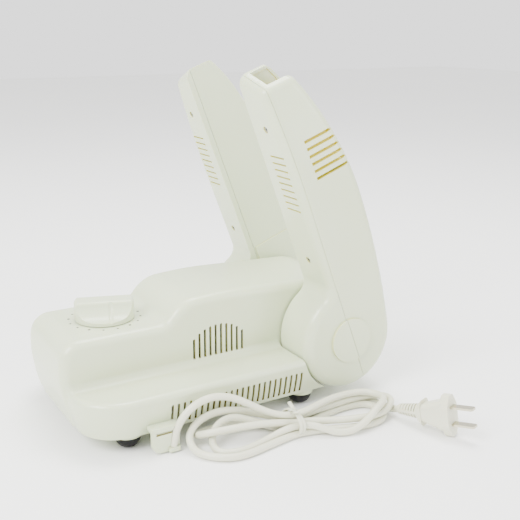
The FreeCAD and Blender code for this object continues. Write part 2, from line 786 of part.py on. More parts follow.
def arm_solid(inset, rounded=True):
    """Outside of the arm, drawn in by inset."""
    low, high = arm_in + inset, arm_out - inset
    blade = Part.Face(outline(blade_corners(), inset, lambda d, u: V(d, low, u)))
    body = rod(hub_r - inset, V(0, low, 0), Y, high - low).fuse(blade.extrude(Y * (high - low)))
    body = body.removeSplitter()
    face_d = -arm_front + inset
    middle = (low + high) / 2

    def neck(m, e):
        return abs(m.x - face_d) < 0.01 and 20 < m.z < hub_r + 1 and abs(m.y - middle) < 1

    body = body.makeFillet(neck_r + inset, edges_where(body, neck))
    across = Part.Face(outline(front_corners(), inset, lambda y, u: V(-2 * hub_r, y, u)))
    body = body.common(across.extrude(X * 4 * hub_r))
    if not rounded:
        return body

    def hub_rim(m, e):
        return abs(m.y - high) < 0.01 and abs(math.hypot(m.x, m.z) - hub_r + inset) < 0.01

    return body.makeFillet(arm_round - inset, edges_where(body, hub_rim)[:1])


def seam_groove(outside, inset_body):
    """Fine groove round the arm where the cover meets the shell."""
    slab = box(seam_v - seam_gap / 2, seam_v + seam_gap / 2, 0, 2 * arm_out, -60, 1.2 * arm_reach)
    return outside.cut(inset_body).common(slab)


def arm_slot_cuts():
    """Slots that wrap round the outer back edge near the tip."""
    cuts = []
    for i in range(arm_slots):
        u = arm_slot_u - i * arm_slot_pitch
        cuts.append(box(13.5, 60, arm_out - 14.5, arm_out + 5, u - arm_slot_w / 2, u + arm_slot_w / 2))
    return cuts


def face_slot_cuts():
    """Slots across the front face."""
    cuts = []
    for i in range(face_slots):
        u = face_slot_u - i * face_slot_pitch
        half = face_slot_w / 2
        cuts.append(box(-arm_front - 1, -arm_front + arm_wall + 0.5, arm_in + 10.9, arm_out - 7.5,
                        u - half, u + half))
    return cuts


def arm_pieces():
    """The pieces of the +Y arm, upright on its own hub axis."""
    outside = arm_solid(0).fuse(rod(boss_face_r, V(0, arm_out - 2, 0), Y, boss_face_h + 2))
    pad = rod(hub_r - 2, V(0, arm_in - pad_t, 0), Y, pad_t + 0.5)
    pad = pad.fuse(box(3, hub_r - 3, arm_in - pad_t, arm_in + 0.5, 0, hub_r + 10))
    outside = outside.fuse(pad)
    shell = outside.cut(arm_solid(arm_wall))
    shell = shell.cut(seam_groove(outside, arm_solid(seam_depth, False)))
    shell = shell.cut(rod(pivot_r, V(0, arm_in - pad_t - 1, 0), Y, arm_wall + pad_t + 2))
    mouth = box(mouth_front, hub_r + 10, arm_in + arm_wall + 0.6, arm_out - mouth_side,
                arm_reach - mouth_long, arm_reach + 5)
    shell = shell.cut(mouth)
    posts, pilots, screws = [], [], []
    depth = -arm_front + arm_wall
    for u in cover_screw_u:
        y = arm_in + cover_screw_y
        back = blade_depth(u) - arm_wall / 2
        posts.append(tube(4.0, screw_r, V(seam_v, y, u), X, back - seam_v))
        pilots.append(rod(2.6, V(-arm_front - 1, y, u), X, 1 + arm_wall + 0.2))
        collar = tube(4.4, screw_r + 0.3, V(depth, y, u), X, seam_v - depth)
        pilots.append(rod(screw_r + 0.3, V(-arm_front - 1, y, u), X, 8))
        posts.append(collar)
        screw = rod(2.4, V(-arm_front + 0.7, y, u), X, 1.4).fuse(rod(screw_r, V(-arm_front + 1, y, u), X, 14))
        screws.append(screw.cut(cross_recess(V(-arm_front + 0.7, y, u))))
    front_half = box(-90, seam_v, 0, 2 * arm_out, -90, 1.5 * arm_reach)
    back_half = box(seam_v, 120, 0, 2 * arm_out, -90, 1.5 * arm_reach)
    cover = shell.common(front_half)
    case = shell.common(back_half)
    for post in posts:
        half = post.common(front_half)
        if half.Volume > 1:
            cover = cover.fuse(half)
        else:
            case = case.fuse(post)
    cover = cover.cut(pilots + face_slot_cuts())
    case = case.cut(arm_slot_cuts())
    rib = box(seam_v + 12, blade_depth(145) - arm_wall / 2, arm_out - 13, arm_out - 11.6, 128, 161)
    case = case.fuse(rib.common(arm_solid(arm_wall / 2)))
    pivot = pivot_solid()
    ring = tube(ring_r, pivot_r - 0.9, V(0, ring_y(), 0), Y, ring_t)
    cup = tube(ring_r - 0.4, pivot_r + 0.4, V(0, ridge_half - wall - 0.15 - washer_t, 0), Y, washer_t)
    return {
        "front_cover": cover,
        "back_shell": case,
        "pivot_tube": pivot,
        "retaining_ring": ring,
        "wave_washer": cup,
        "cover_screws": Part.makeCompound(screws),
    }


def blade_depth(u):
    """Depth of the arm's back at u, from its outline."""
    probe = box(-2, 120, arm_in + 4, arm_in + 5, u - 0.05, u + 0.05).common(arm_solid(0, False))
    return probe.optimalBoundingBox().XMax


def cross_recess(at):
    """Cross recess in a screw head that faces -X."""
    long, short, deep = 1.5, 0.35, 0.9
    return box(at.x - 1, at.x + deep, at.y - long, at.y + long, at.z - short, at.z + short).fuse(
        box(at.x - 1, at.x + deep, at.y - short, at.y + short, at.z - long, at.z + long))


def ring_y():
    """Near face of the retaining ring inside the base."""
    return ridge_half - wall - 0.3 - washer_t - ring_t


def pivot_solid():
    """Turning tube of an arm with its flange inside the hub and a groove for its ring."""
    start = ring_y() - 1.6
    inner = pivot_r - pivot_wall
    body = rod(pivot_r, V(0, start, 0), Y, arm_in + arm_wall + flange_t - start)
    body = body.fuse(rod(flange_r, V(0, arm_in + arm_wall, 0), Y, flange_t))
    body = body.cut(rod(inner, V(0, start - 1, 0), Y, 100))
    return body.cut(tube(pivot_r + 1, pivot_r - 0.9, V(0, ring_y(), 0), Y, ring_t))


def open_arm(shape):
    """Lean an upright arm towards the nose and lift it onto the hub axis."""
    moved = shape.copy()
    moved.rotate(V(0, 0, 0), Y, -arm_tilt)
    moved.translate(V(0, 0, hub_z))
    return moved


def terminal_block():
    z = skirt_z + plate_t
    body = box(-166, -136, -56, -46, z, z + 9.0)
    cuts = []
    for x in (-161.5, -154.5, -147.5, -140.5):
        cuts.append(rod(1.4, V(x, -56.5, z + 3.5), Y, 11))
        cuts.append(rod(1.7, V(x, -51, z + 3.5), Z, 7))
    return body.cut(cuts)


def cord_clamp():
    """Saddle that holds the cord inside the bottom cover."""
    z = skirt_z + plate_t
    body = box(-166, -148, -64, -58, z, z + 6.5)
    body = body.makeFillet(1.0, edges_where(body, lambda m, e: m.z > z + 6))
    spots = clamp_screw_places()
    return body.cut([rod(cord_r, V(-157, -65, z + 0.6), Y, 10)] + [rod(1.2, p, Z, 20) for p in spots])


def clamp_screw_places():
    return [V(x, -61, skirt_z + plate_t) for x in (-163.4, -150.6)]


def clamp_screws():
    screws = []
    for p in clamp_screw_places():
        head = rod(2.2, V(p.x, p.y, p.z + 6.5), Z, 1.5)
        screws.append(head.fuse(rod(1.2, p, Z, 6.5)))
    return Part.makeCompound(screws)


def internal_wiring():
    """Wires from the terminal block to the timer, the motor and the thermostat."""
    z = skirt_z + plate_t + 3.5
    m0, m1 = motor_ends()
    top = fan_z + duct_half_h + duct_wall + 3.4
    duct_mid = duct_x0() + 10.0
    timer_tag = (knob_x - 9.5, -timer_side / 2 - 4.0, roof_z - 21.2)
    to_timer = [(-161.5, -46.0, z), (-161.6, -41.0, z), (-164.0, -32.0, z + 9),
                (-170.0, -24.5, z + 20), timer_tag]
    lift_y = m1 + 1.3
    to_motor = [(-147.5, -46.0, z), (-147.2, -41.0, z), (-138.0, -22.0, z + 1), (-130.0, 2.0, z + 2),
                (-122.0, 24.0, z + 9), (fan_x - 12.0, lift_y, fan_z - 18.0),
                (fan_x - 8.4, lift_y, fan_z - 1.6)]
    to_heater = [(-140.5, -46.0, z), (-139.6, -41.5, z), (-124.0, -38.5, z), (-96.0, -44.0, z + 3),
                 (-70.0, -44.0, z + 3), (-52.0, -31.0, z + 12), (duct_mid - 2.0, -27.0, top - 18.0),
                 (duct_mid - 1.0, -24.0, top - 4.0), (duct_mid - 0.5, -17.0, top + 1.6),
                 (duct_mid, -9.4, top)]
    wires = [cable([V(*p) for p in route], wire_r) for route in (to_timer, to_motor, to_heater)]
    return Part.makeCompound(wires)


def cord_bracket():
    """Moulded bracket under the skirt's edge, with a ledge that the cord comes up through."""
    x0, x1 = bracket_x
    tongue = box(x0 + 4.5, x1, -bracket_out + 1, -body_half + 15, skirt_z - 3.2, skirt_z)
    face = box(x0, x1, -bracket_out, -bracket_out + 3, 1.2, bracket_top)
    corners = edges_where(face, lambda m, e: m.z < 2 and m.x < x0 + 1 and abs(e.tangentAt(0).y) > 0.9)
    face = face.makeFillet(6.5, corners)
    top = box(x0, x1, -bracket_out, -body_half + 2.4, bracket_top - 3, bracket_top)
    top = top.cut(ledge_block(0, skirt_z))
    near = -bracket_out
    top = top.makeFillet(1.2, edges_where(top, lambda m, e: m.z > bracket_top - 0.1 and m.y < near + 0.5))
    groove = box(x0 + 3, x1 - 3, -bracket_out - 1, -bracket_out + 1.6, bracket_top - 5.4, bracket_top - 3.2)
    ledge = box(x1 - 8.5, x1, -bracket_out - 2.6, -bracket_out + 3, 1.2, 4.0)
    ledge = ledge.makeFillet(1.2, edges_where(ledge, lambda m, e: m.y < near - 2 and abs(m.z - 4.0) > 1
                                              and abs(e.tangentAt(e.FirstParameter).z) > 0.9))
    route = lead_tube(cord_r + 0.05)
    return tongue.fuse([face, top, ledge]).cut([groove, route])


def lead_tube(radius, report=None):
    return cable([V(*p) for p in lead_route], radius, report)


def cord_lead():
    return lead_tube(cord_r, "cord_lead")


def cord_tail():
    return cable([V(*p) for p in tail_route], cord_r, "cord_tail")


def cord_hank():
    """Outer shape of the tied hank: two lobes with the tie between them."""
    corners = [
        (tie_x - 5, hank_far - 16.0, 12.0),
        (hank_left + 34, hank_far, 16.0),
        (hank_left, hank_far - 6, 14.0),
        (hank_left, hank_near + 8, 18.0),
        (hank_left + 26, hank_near, 14.0),
        (tie_x - 5, hank_near + 13.0, 14.0),
        (tie_x + 30, hank_near, 14.0),
        (hank_right - 36, hank_near, 16.0),
        (hank_right, hank_near + 16, 9.0),
        (hank_right, hank_clear - 12, 9.0),
        (hank_right - 20, hank_clear, 13.0),
        (tie_x + 40, hank_clear, 14.0),
    ]
    block = Part.Face(outline(corners, 0, lambda x, y: V(x, y, 0))).extrude(Z * hank_high)
    wedge = Part.Face(Part.makePolygon([
        V(-200, hank_far + 1, hank_high), V(-200, hank_near - 1, hank_low), V(-200, hank_near - 1, 60),
        V(-200, hank_far + 1, 60), V(-200, hank_far + 1, hank_high)])).extrude(X * 300)
    waist = box(tie_x - tie_half_l, tie_x + tie_half_l, -200, 0, -1, 60)
    low = box(-200, 100, -200, 0, tie_h - 1.2, 60).common(box(tie_x - 14, tie_x + 14, -200, 0, -1, 60))
    core = rod_like(tie_half_w - 1.6, tie_h - 1.2, tie_half_l + 0.2)
    return block.cut([wedge, low, waist]).fuse(core)


def rod_like(half_w, height, half_l):
    """Rounded bar under the tie, along the hank."""
    bar = box(tie_x - half_l, tie_x + half_l, tie_y - half_w, tie_y + half_w, 0.8, height)
    return bar.makeFillet(3.0, edges_where(bar, lambda m, e: abs(e.tangentAt(0).x) > 0.9))


def cord_tie():
    outer = box(tie_x - tie_half_l, tie_x + tie_half_l, tie_y - tie_half_w, tie_y + tie_half_w, 0, tie_h)
    outer = outer.makeFillet(3.6, edges_where(outer, lambda m, e: abs(e.tangentAt(0).x) > 0.9))
    return outer.cut(rod_like(tie_half_w - 1.6, tie_h - 1.2, tie_half_l + 1))


def aim_plug(shape):
    """Turn a piece drawn along +X from the cord's end to lie along the plug's own axis."""
    a, b = V(*tail_route[-1]), V(*plug_at)
    along = (b - a).normalize()
    turned = shape.copy()
    turned.rotate(V(0, 0, 0), Y, -math.degrees(math.asin(along.z)))
    turned.rotate(V(0, 0, 0), Z, math.degrees(math.atan2(along.y, along.x)))
    turned.translate(a)
    return turned


def plug_strain_relief():
    body = Part.makeCone(cord_r + 1.2, 5.7, plug_relief_l, V(0, 0, 0), X)
    slots = []
    for i in range(6):
        x = 2.0 + i * 2.4
        for side in (-1, 1):
            near, far = sorted((side * 0.9, side * 9.0))
            slots.append(box(x, x + 1.1, -8, 8, near, far))
    core = rod(cord_r + 0.7, V(0, 0, 0), X, plug_relief_l)
    return aim_plug(body.cut(slots).fuse(core))


def plug_body():
    collar_x = plug_relief_l + 3.4
    collar = Part.makeLoft([ring_wire(plug_relief_l, 6.0, 6.4), ring_wire(collar_x, 6.6, 9.6)], True)
    neck = Part.makeLoft([ring_wire(collar_x, 6.0, 6.6), ring_wire(plug_l - 12.0, 6.6, 9.6),
                          ring_wire(plug_l - 5.5, 6.8, 11.6)], True)
    h, w = plug_face_half, plug_face_w
    corners = [(w, h * 0.45, 2.0), (w * 0.4, h, 2.0), (-w * 0.4, h, 2.0), (-w, h * 0.45, 2.0),
               (-w, -h * 0.45, 2.0), (-w * 0.4, -h, 2.0), (w * 0.4, -h, 2.0), (w, -h * 0.45, 2.0)]
    flange = Part.Face(outline(corners, 0, lambda y, z: V(plug_l - 6.0, y, z))).extrude(X * 6.0)
    return aim_plug(collar.fuse([neck, flange]))


def ring_wire(x, half_w, half_h):
    """Rounded cross-section of the plug at x."""
    corners = [(half_w, half_h, 0.6 * half_w), (-half_w, half_h, 0.6 * half_w),
               (-half_w, -half_h, 0.6 * half_w), (half_w, -half_h, 0.6 * half_w)]
    return outline(corners, 0, lambda y, z: V(x, y, z))


def plug_pins():
    pins = []
    for side in (-1, 1):
        z = side * pin_pitch / 2
        pin = box(plug_l, plug_l + pin_l, -pin_w / 2, pin_w / 2, z - pin_t / 2, z + pin_t / 2)
        end = plug_l + pin_l - 0.1
        tips = edges_where(pin, lambda m, e: m.x > end and abs(e.tangentAt(e.FirstParameter).z) > 0.9)
        pins.append(aim_plug(pin.makeChamfer(1.2, tips)))
    return Part.makeCompound(pins)


# ---- write the pieces --------------------------------------------------------------------
def place(shape):
    """Move a piece to the row frame: origin under the middle of the base and arms."""
    moved = shape.copy()
    moved.translate(V((nose_reach + arm_overhang - hub_r) / 2, 0, 0))
    return moved


def write(node, shape):
    solid = place(shape)
    if len(solid.Solids) == 1:
        solid = solid.Solids[0]
    solid.exportStep(os.path.join("parts", node + ".step"))
    print(node, len(solid.Solids), "solid", solid.isValid(), round(solid.Volume))


def write_arms():
    """Both arms, the +Y one as drawn and the -Y one mirrored."""
    for node, shape in arm_pieces().items():
        leaned = open_arm(shape)
        write("left_" + node, leaned)
        write("right_" + node, mirrored(leaned))


os.makedirs("parts", exist_ok=True)
write("base_housing", base_housing())
write("bottom_cover", bottom_cover())
write("rubber_feet", rubber_feet())
write("base_screws", base_screws())
write("scale_ticks", scale_ticks())
write("timer_knob", timer_knob())
write("timer_shaft", timer_shaft())
write("timer_body", timer_body())
write("timer_screws", Part.makeCompound([timer_screw(spot) for spot in timer_screw_places()]))
near_case, far_case = blower_cases()
write("blower_case_right", near_case)
write("blower_case_left", far_case)
write("fan_impeller", fan_impeller())
write("fan_motor", fan_motor())
write("motor_shaft", motor_shaft())
write("motor_bracket", motor_bracket())
write("motor_screws", Part.makeCompound([motor_screw(p) for p in motor_screw_places()]))
write("heater_duct", heater_duct())
write("heater_frame", heater_frame())
write("heater_wire", heater_wire())
write("thermostat", thermostat())
write("thermal_fuse", thermal_fuse())
write("air_manifold", air_manifold())
write("left_pivot_bush", pivot_bush())
write("right_pivot_bush", mirrored(pivot_bush()))
write_arms()
write("terminal_block", terminal_block())
write("cord_clamp", cord_clamp())
write("clamp_screws", clamp_screws())
write("internal_wiring", internal_wiring())
write("cord_bracket", cord_bracket())
write("cord_lead", cord_lead())
write("cord_hank", cord_hank())
write("cord_tie", cord_tie())
write("cord_tail", cord_tail())
write("plug_strain_relief", plug_strain_relief())
write("plug_body", plug_body())
write("plug_pins", plug_pins())
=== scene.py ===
"""Looks of a folding boot dryer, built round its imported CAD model. Every length is in metres."""

import json
import math

import bpy
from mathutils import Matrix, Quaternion, Vector


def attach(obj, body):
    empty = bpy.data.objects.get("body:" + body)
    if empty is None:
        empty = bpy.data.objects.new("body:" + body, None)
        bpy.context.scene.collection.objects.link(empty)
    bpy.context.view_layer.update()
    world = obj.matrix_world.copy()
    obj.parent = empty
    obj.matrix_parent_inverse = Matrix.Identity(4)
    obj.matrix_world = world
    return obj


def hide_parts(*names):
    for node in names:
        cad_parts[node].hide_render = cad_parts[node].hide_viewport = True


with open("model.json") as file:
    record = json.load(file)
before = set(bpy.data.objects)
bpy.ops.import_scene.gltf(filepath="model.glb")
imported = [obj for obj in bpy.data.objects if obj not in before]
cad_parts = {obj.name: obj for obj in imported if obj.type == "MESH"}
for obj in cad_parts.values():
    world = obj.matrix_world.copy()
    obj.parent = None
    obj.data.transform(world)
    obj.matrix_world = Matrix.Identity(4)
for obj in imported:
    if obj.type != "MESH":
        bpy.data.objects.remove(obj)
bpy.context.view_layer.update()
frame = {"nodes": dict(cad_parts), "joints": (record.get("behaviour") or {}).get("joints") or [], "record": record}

MM = 0.001
hub = Vector(next(j for j in frame["joints"] if j["name"] == "right_arm_fold")["pos_m"])
hub_x = hub.x

# camera, off the right side of the nose end
camera_place = (-0.2695, -0.5318, 0.2791)
camera_turn = math.radians(31.15)      # from +Y towards +X
camera_drop = math.radians(16.19)      # below level
camera_lean = math.radians(-0.21)      # about the line of sight
camera_lens = 55.8                     # millimetres, for a sensor 36 mm wide
camera_sensor = 36.0
camera_near = 10 * MM

# studio
world_strength = 1.9
floor_size = 8.0
floor_z = -0.0002                      # just under the feet
middle_of_object = (0, 0, 0.1)
middle_of_base = (0, 0, 0.05)

# share of open space round a point, from 0 in a shut hollow to 1 on an outer face; it sets where the painted slot
# glow and painted shade go
hollow_reach = 40 * MM                 # surfaces nearer than this close a point in
slot_open = (0.28, 0.58)               # painted slot glow in full at the first, none at the second (an outer face)
deep_open = (0.04, 0.3)                # the same for the painted shade of the deepest part of a hollow

# colour sockets of a Mix node
mix_a, mix_b, mix_result = 6, 7, 2


# ---- camera, floor and light ---------------------------------------------------------------
def add_camera():
    """Camera above the nose end's right side."""
    data = bpy.data.cameras.new("studio_camera")
    data.lens = camera_lens
    data.sensor_width = camera_sensor
    data.clip_start = camera_near
    camera = bpy.data.objects.new("studio_camera", data)
    bpy.context.scene.collection.objects.link(camera)
    camera.location = camera_place
    level = math.cos(camera_drop)
    along = Vector((math.sin(camera_turn) * level, math.cos(camera_turn) * level, -math.sin(camera_drop)))
    facing = along.to_track_quat("-Z", "Y")
    facing.rotate(Quaternion(along, camera_lean))
    camera.rotation_mode = "QUATERNION"
    camera.rotation_quaternion = facing
    bpy.context.scene.camera = camera


def add_light(name, place, aim, size, power):
    """Rectangular softbox that faces the point it is aimed at."""
    data = bpy.data.lights.new(name, "AREA")
    data.shape = "RECTANGLE"
    data.size = size[0]
    data.size_y = size[1]
    data.energy = power
    light = bpy.data.objects.new(name, data)
    bpy.context.scene.collection.objects.link(light)
    light.location = place
    light.rotation_euler = (Vector(aim) - Vector(place)).to_track_quat("-Z", "Y").to_euler()


# ---- materials -----------------------------------------------------------------------------
def linear(hex_colour):
    """sRGB hex to linear RGBA."""
    parts = [int(hex_colour[i:i + 2], 16) / 255 for i in (0, 2, 4)]
    flat = [c / 12.92 if c <= 0.04045 else ((c + 0.055) / 1.055) ** 2.4 for c in parts]
    return (*flat, 1.0)


def node(tree, kind, links=(), **settings):
    """Adds a node, sets its inputs and properties, and links (output, input) pairs to it."""
    made = tree.nodes.new(kind)
    for key, value in settings.items():
        name = key.replace("_", " ")
        sockets = [s for s in made.inputs if s.name.lower() == name.lower()]
        if sockets and not hasattr(made, key):
            sockets[0].default_value = value
        else:
            setattr(made, key, value)
    for output, socket in links:
        tree.links.new(output, made.inputs[socket])
    return made


def new_material(name):
    """Material with an empty node tree."""
    made = bpy.data.materials.new(name)
    made.use_nodes = True
    tree = made.node_tree
    tree.nodes.clear()
    return made, tree


def surface(tree, links, **settings):
    """Ends a material: its shader, with those links, joined to the output."""
    shader = node(tree, "ShaderNodeBsdfPrincipled", links, **settings)
    node(tree, "ShaderNodeOutputMaterial", [(shader.outputs["BSDF"], "Surface")])


def mottled(tree, dark, light, patch):
    """Colour that drifts between two close tones over patches of that size in metres."""
    place = node(tree, "ShaderNodeTexCoord").outputs["Object"]
    noise = node(tree, "ShaderNodeTexNoise", [(place, "Vector")], Scale=1 / patch, Detail=3.0)
    mix = node(tree, "ShaderNodeMix", [(noise.outputs["Fac"], "Factor")], data_type="RGBA")
    mix.inputs[mix_a].default_value = linear(dark)
    mix.inputs[mix_b].default_value = linear(light)
    return mix.outputs[mix_result], place


def grain(tree, place, size, height):
    """Bump with grains of that size and height in metres."""
    noise = node(tree, "ShaderNodeTexNoise", [(place, "Vector")], Scale=1 / size, Detail=2.0)
    bump = node(tree, "ShaderNodeBump", [(noise.outputs["Fac"], "Height")], Strength=1.0, Distance=height)
    return bump.outputs["Normal"]


def glossy_abs(name, glow, deep_shade_paint, glow_strength):
    """Glossy moulded ABS: cream with a broad soft sheen and a little depth under the surface. Slots and
    hollows, found by ambient occlusion, get painted light: a glow colour, also emitted, stands for light through
    the walls, and the deepest parts get a painted shade colour."""
    made, tree = new_material(name)
    colour, place = mottled(tree, cream_dark, cream_light, 60 * MM)
    bump = grain(tree, place, 2.2 * MM, 0.012 * MM)
    hollow = node(tree, "ShaderNodeAmbientOcclusion", samples=8, only_local=True, Distance=hollow_reach)
    openness = [(hollow.outputs["AO"], "Value")]
    # painted light: shut-in points turn to the glow colour, standing for light through the walls
    slot_light_mask = node(tree, "ShaderNodeMapRange", openness, To_Min=1.0, To_Max=0.0,
                   From_Min=slot_open[0], From_Max=slot_open[1])
    deep_shade_mask = node(tree, "ShaderNodeMapRange", openness, To_Min=1.0, To_Max=0.0,
                    From_Min=deep_open[0], From_Max=deep_open[1])
    slot_light_share = (slot_light_mask.outputs["Result"], "Factor")
    # painted shade: the deepest parts of a hollow take the darker colour
    painted_light_tone = node(tree, "ShaderNodeMix", [(deep_shade_mask.outputs["Result"], "Factor")], data_type="RGBA")
    painted_light_tone.inputs[mix_a].default_value = linear(glow)
    painted_light_tone.inputs[mix_b].default_value = linear(deep_shade_paint)
    painted_light_colour = painted_light_tone.outputs[mix_result]
    tone = node(tree, "ShaderNodeMix", [slot_light_share, (colour, mix_a), (painted_light_colour, mix_b)],
                data_type="RGBA")
    # painted glow: slots emit their glow colour, though nothing there is a lamp
    shine = node(tree, "ShaderNodeMix", [slot_light_share, (painted_light_colour, mix_b)], data_type="RGBA")
    shine.inputs[mix_a].default_value = linear("000000")
    surface(tree, [(tone.outputs[mix_result], "Base Color"), (bump, "Normal"),
                   (shine.outputs[mix_result], "Emission Color")],
            Roughness=0.24, IOR=1.53, Subsurface_Weight=0.25, Subsurface_Radius=(1.0, 0.8, 0.35),
            Subsurface_Scale=2.0 * MM, Emission_Strength=glow_strength)
    return made


def plain(name, dark, light, patch, roughness, grain_size, grain_height, **more):
    """Surface of one finish: two close tones, a fine grain and a roughness."""
    made, tree = new_material(name)
    colour, place = mottled(tree, dark, light, patch)
    bump = grain(tree, place, grain_size, grain_height)
    surface(tree, [(colour, "Base Color"), (bump, "Normal")], Roughness=roughness, **more)
    return made


def add_floor():
    """Plain pale floor."""
    bpy.ops.mesh.primitive_plane_add(size=floor_size, location=(0, 0, floor_z))
    floor = bpy.context.object
    floor.name = "floor"
    # matt white paint: nearly white, with no sheen
    made = plain("matt_white_paint", "F4F4F2", "F8F8F6", patch=0.5, roughness=0.6,
                 grain_size=2 * MM, grain_height=0.01 * MM)
    floor.data.materials.append(made)


def add_world():
    """Even white light from all round."""
    world = bpy.data.worlds.new("white_studio")
    world.use_nodes = True
    back = world.node_tree.nodes["Background"]
    back.inputs["Color"].default_value = (1.0, 1.0, 1.0, 1.0)
    back.inputs["Strength"].default_value = world_strength
    bpy.context.scene.world = world


# ---- cord ----------------------------------------------------------------------------------
# The cord's middle line from its bracket to its plug, in millimetres: x from the arms' hub axis,
# y from the middle plane and z from the ground. The hank is three turns, each to the right and back.
cord_r = 2.6 * MM
strain_end = (12.8, -122.1, 8.0)
lead = [
    (-151.3, -80.0, 4.0), (-150.0, -80.2, 13.4), (-145.8, -80.6, 21.9), (-139.3, -81.2, 28.8),
    (-130.4, -82.0, 33.4), (-119.4, -82.8, 34.3), (-107.8, -84.2, 31.2), (-95.8, -87.0, 24.0),
    (-84.5, -91.0, 17.0), (-75.0, -95.5, 13.6), (-67.0, -98.0, 13.0),
]
hank = [
    (-56.0, -98.0, 13.0), (-44.0, -95.0, 13.2), (-31.0, -92.0, 13.6), (-17.0, -91.0, 13.6),
    (-5.0, -92.0, 13.4), (3.0, -96.0, 13.2), (7.0, -103.5, 13.4), (5.5, -112.0, 14.6),
    (-1.5, -118.6, 14.8), (-11.0, -122.8, 14.0), (-20.0, -125.2, 9.0), (-31.0, -125.0, 3.6),
    (-42.0, -121.5, 2.8), (-50.0, -116.5, 5.6), (-57.5, -110.5, 8.4), (-67.0, -106.0, 8.2),
    (-77.0, -104.6, 7.0), (-87.0, -104.0, 4.2), (-98.0, -105.4, 2.8), (-110.0, -107.8, 2.7),
    (-120.0, -107.0, 2.7), (-127.0, -103.0, 2.7), (-129.0, -96.0, 3.4), (-126.6, -88.4, 8.0),
    (-120.0, -84.4, 13.6), (-112.0, -83.8, 15.8), (-105.0, -84.6, 15.4), (-91.5, -88.2, 10.0),
    (-79.0, -95.0, 4.8), (-67.0, -100.5, 2.7), (-53.0, -97.5, 2.7), (-38.0, -93.5, 2.7),
    (-23.0, -91.2, 2.7), (-9.0, -90.8, 2.7), (0.2, -93.0, 2.7), (5.6, -98.6, 2.7), (6.8, -106.5, 2.7),
    (4.6, -114.0, 2.7), (-1.5, -119.8, 2.7), (-9.0, -122.3, 2.7), (-21.0, -121.8, 2.7),
    (-36.0, -116.5, 2.7), (-52.0, -110.5, 2.7), (-67.0, -107.0, 2.7), (-80.0, -108.4, 2.7),
    (-97.0, -111.3, 2.7), (-112.0, -114.0, 2.7), (-124.0, -112.6, 2.7), (-133.5, -106.0, 2.7),
    (-140.0, -97.5, 2.8), (-142.0, -88.0, 4.2), (-140.5, -81.0, 10.5), (-131.0, -78.6, 17.6),
    (-117.0, -78.2, 20.0), (-104.0, -78.8, 18.2), (-91.0, -80.6, 14.0), (-79.0, -86.5, 10.2),
    (-67.0, -95.2, 8.0), (-52.0, -93.2, 8.0), (-38.0, -92.0, 8.0), (-22.0, -90.8, 8.0),
    (-6.0, -90.4, 8.0), (6.4, -93.2, 8.4), (13.4, -98.6, 9.0), (15.4, -106.0, 10.2),
    (11.8, -113.4, 10.8), (5.0, -118.2, 9.4), (-2.0, -120.4, 8.4), (-14.0, -121.0, 8.1),
    (-30.0, -116.4, 8.0), (-45.0, -109.5, 8.0), (-57.0, -103.5, 8.0), (-67.0, -100.6, 8.0),
    (-78.0, -99.8, 10.6), (-92.0, -98.6, 13.0), (-108.0, -96.8, 14.0), (-121.0, -95.0, 14.0),
    (-129.5, -92.0, 13.2), (-134.0, -86.0, 10.0), (-134.0, -78.0, 6.4), (-126.0, -70.8, 2.9),
    (-115.0, -69.0, 2.8), (-101.0, -72.5, 2.8), (-88.0, -79.0, 2.8), (-77.0, -87.6, 2.8),
    (-67.0, -93.2, 2.7),
]
tail = [
    (-55.0, -91.0, 2.7), (-40.0, -86.3, 2.7), (-24.0, -84.8, 2.7), (-8.0, -84.8, 2.7), (3.5, -86.6, 2.7),
    (10.2, -91.6, 2.7), (12.6, -99.5, 2.8), (12.6, -108.0, 3.2), (12.2, -115.0, 4.6), strain_end,
]


def at(point):
    """A point of the cord's middle line, in the frame's metres."""
    return Vector((hub_x + point[0] * MM, point[1] * MM, point[2] * MM))


def add_cord(material):
    """Mains cord as one curve: lead, tied hank and tail."""
    points = [at(p) for p in lead + hank + tail]
    data = bpy.data.curves.new("mains_cord", "CURVE")
    data.dimensions = "3D"
    spline = data.splines.new("NURBS")
    spline.points.add(len(points) - 1)
    for control, point in zip(spline.points, points):
        control.co = (*point, 1.0)
    spline.order_u = 3
    spline.use_endpoint_u = True
    spline.resolution_u = 6
    data.bevel_depth = cord_r
    data.bevel_resolution = 4
    data.use_fill_caps = True
    cord = bpy.data.objects.new("mains_cord", data)
    bpy.context.scene.collection.objects.link(cord)
    data.materials.append(material)
    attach(cord, "base")
    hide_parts("cord_lead", "cord_hank", "cord_tail")


# ---- tie -----------------------------------------------------------------------------------
tie_place = (-67.0, -100.3, 9.1)       # middle of the tied bundle, as the cord's points
bundle_half_wide = 12.0 * MM
bundle_half_high = 8.4 * MM
tie_wire_r = 0.9 * MM
turn_slants = (-7, 6)                  # degrees about the vertical, one for each turn
turn_widen = 1.6                       # a tie's band is wider along the bundle than it is thick
tie_tail_l = 9 * MM
tail_r = 1.2 * tie_wire_r
tail_flatten = (1.5, 0.7, 1.0)
tail_apart = 1.1 * MM
tail_tilt = 62                         # degrees off the vertical
tail_shift = (1.5 * MM, 3.2 * MM, 0.6 * MM)


